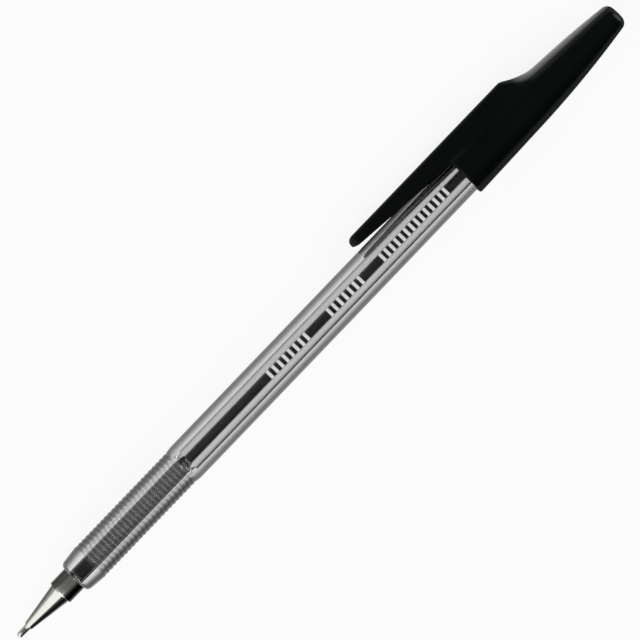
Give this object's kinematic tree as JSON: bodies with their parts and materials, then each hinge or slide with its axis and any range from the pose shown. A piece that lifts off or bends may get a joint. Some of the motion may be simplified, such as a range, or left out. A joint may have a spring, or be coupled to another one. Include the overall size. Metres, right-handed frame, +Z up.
{
  "type": "stick ballpoint pen",
  "caption": "Stick ballpoint pen: clear tube barrel with a ringed grip, plated nose cone with ball tip, pull-out ink refill and a posted push-on cap with a moulded clip.",
  "frame": {"origin": "on the table, under the middle of the box of the pen as it lies with the cap posted on its tail", "axes": "+X along the pen from the writing point to the cap's closed end, +Z up from the table; the pen is rolled so that the rim of the cap and the lower edge of its clip touch the table"},
  "size_m": [0.1598, 0.0118, 0.0097],
  "materials": {
    "clear_plastic": "clear, polished",
    "plug_plastic": "gloss black",
    "cap_plastic": "gloss black",
    "plated_metal": "nickel plated, polished",
    "tip_metal": "turned nickel silver",
    "ball_metal": "ground carbide",
    "holder_plastic": "satin black",
    "tube_plastic": "translucent",
    "ink": "black ink"
  },
  "bodies": {
    "barrel": {"barrel": "clear_plastic", "tail_plug": "plug_plastic"},
    "cap": {"cap": "cap_plastic"},
    "refill": {"nose_cone": "plated_metal", "ball_tip": "tip_metal", "tip_holder": "holder_plastic", "ink_tube": "tube_plastic", "ink": "ink"},
    "ball": {"ball": "ball_metal"}
  },
  "joints": [
    {"name": "cap_slide", "type": "slide", "parent": "barrel", "child": "cap", "axis": [1, 0, 0], "range_m": [0, 0.045]},
    {"name": "refill_pull", "type": "slide", "parent": "barrel", "child": "refill", "axis": [-1, 0, 0], "range_m": [0, 0.115]},
    {"name": "ball_roll", "type": "hinge", "parent": "refill", "child": "ball", "pos_m": [-0.0794, -0.00104, 0.00483], "axis": [0, 1, 0], "continuous": true}
  ]
}
